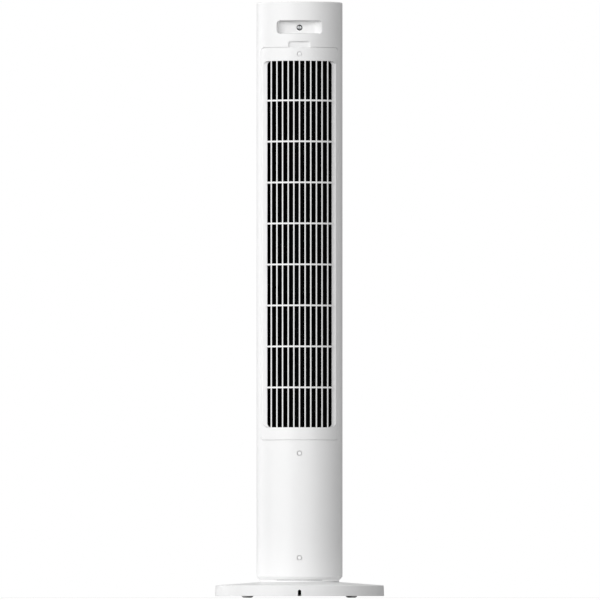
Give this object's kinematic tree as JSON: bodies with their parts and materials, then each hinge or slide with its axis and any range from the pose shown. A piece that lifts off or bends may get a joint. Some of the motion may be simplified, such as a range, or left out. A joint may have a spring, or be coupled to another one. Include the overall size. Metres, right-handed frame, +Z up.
{
  "type": "tower fan",
  "caption": "Slim white tower fan on a round base: swinging column, cross-flow impeller, slotted rear intake grille that lifts off, rear carry recess and top control buttons.",
  "frame": {"origin": "on the floor, on the column's and base's common axis", "axes": "+Z up, +Y towards the back with the intake grille, -Y towards the front with the air outlet"},
  "size_m": [0.311, 0.311, 1.094],
  "materials": {
    "white_shell": "fine satin moulded",
    "white_button": "satin",
    "black_plastic": "matt moulded",
    "grey_frame": "matt moulded",
    "nylon": "natural moulded",
    "steel": "plain",
    "zinc_screw": "zinc plated",
    "white_screw": "white enamel",
    "cast_weight": "black coated",
    "foot_rubber": "soft pale",
    "black_rubber": "soft",
    "brass_pin": "plain",
    "copper_wire": "enamelled winding",
    "motor_metal": "die cast",
    "circuit_board": "solder mask",
    "dark_window": "smoked, polished"
  },
  "bodies": {
    "base": {"base_cover": "white_shell", "base_plate": "white_shell", "base_ballast": "cast_weight", "base_feet": "foot_rubber", "base_screws": "zinc_screw", "mains_inlet": "black_plastic", "inlet_pins": "brass_pin", "pivot_hub": "steel", "hub_screws": "zinc_screw", "hub_clips": "steel", "swing_gear": "nylon", "lower_race": "steel"},
    "cage": {"ball_cage": "nylon", "bearing_balls": "steel"},
    "pinion": {"swing_pinion": "nylon", "pinion_shaft": "steel"},
    "fan_rotor": {"impeller": "black_plastic", "motor_shaft": "steel", "motor_rotor": "steel", "top_pin": "steel"},
    "grille": {"rear_grille": "white_shell", "grille_screw": "white_screw"},
    "power_key": {"power_button": "white_button"},
    "timer_key": {"timer_button": "white_button"},
    "swing_key": {"swing_button": "white_button"},
    "speed_key": {"speed_button": "white_button"},
    "tower": {"turntable": "grey_frame", "upper_race": "steel", "swing_bracket": "steel", "swing_motor": "motor_metal", "chassis_frame": "grey_frame", "chassis_screws": "zinc_screw", "driver_board": "circuit_board", "board_parts": "black_plastic", "rear_shell": "white_shell", "front_shell": "white_shell", "column_screws": "white_screw", "front_grille": "white_shell", "motor_plate": "steel", "motor_grommets": "black_rubber", "motor_screws": "zinc_screw", "motor_cap": "motor_metal", "motor_can": "motor_metal", "motor_bearings": "steel", "motor_stator": "steel", "motor_coils": "copper_wire", "duct_base": "black_plastic", "duct_top": "black_plastic", "top_bush": "brass_pin", "scroll_wall": "black_plastic", "tongue_wall": "black_plastic", "head_frame": "grey_frame", "handle_cup": "white_shell", "handle_screw": "zinc_screw", "handle_washer": "black_rubber", "top_panel": "white_shell", "display_window": "dark_window", "display_module": "black_plastic", "control_board": "circuit_board", "tact_switches": "black_plastic"}
  },
  "joints": [
    {"name": "swing", "type": "hinge", "parent": "base", "child": "tower", "pos_m": [0, 0, 0.04], "axis": [0, 0, 1], "range_deg": [-75, 75]},
    {"name": "cage_roll", "type": "hinge", "parent": "base", "child": "cage", "pos_m": [0, 0, 0.0355], "axis": [0, 0, 1], "range_deg": [-40, 40]},
    {"name": "pinion_turn", "type": "hinge", "parent": "tower", "child": "pinion", "pos_m": [-0.03, 0, 0.059], "axis": [0, 0, 1], "range_deg": [-310, 310]},
    {"name": "impeller_spin", "type": "hinge", "parent": "tower", "child": "fan_rotor", "pos_m": [0, 0, 0.64], "axis": [0, 0, 1], "continuous": true},
    {"name": "grille_removal", "type": "slide", "parent": "tower", "child": "grille", "axis": [0, 1, 0], "range_m": [0, 0.06]},
    {"name": "power_press", "type": "slide", "parent": "tower", "child": "power_key", "axis": [0, 0, 1], "range_m": [-0.0008, 0], "stiffness_N_per_m": 700, "springref_m": 0.0012},
    {"name": "timer_press", "type": "slide", "parent": "tower", "child": "timer_key", "axis": [0, 0, 1], "range_m": [-0.0008, 0], "stiffness_N_per_m": 700, "springref_m": 0.0012},
    {"name": "swing_press", "type": "slide", "parent": "tower", "child": "swing_key", "axis": [0, 0, 1], "range_m": [-0.0008, 0], "stiffness_N_per_m": 700, "springref_m": 0.0012},
    {"name": "speed_press", "type": "slide", "parent": "tower", "child": "speed_key", "axis": [0, 0, 1], "range_m": [-0.0008, 0], "stiffness_N_per_m": 700, "springref_m": 0.0012}
  ],
  "couplings": [
    {"joint": "cage_roll", "follows": "swing", "ratio": 0.5},
    {"joint": "pinion_turn", "follows": "swing", "ratio": 4}
  ]
}
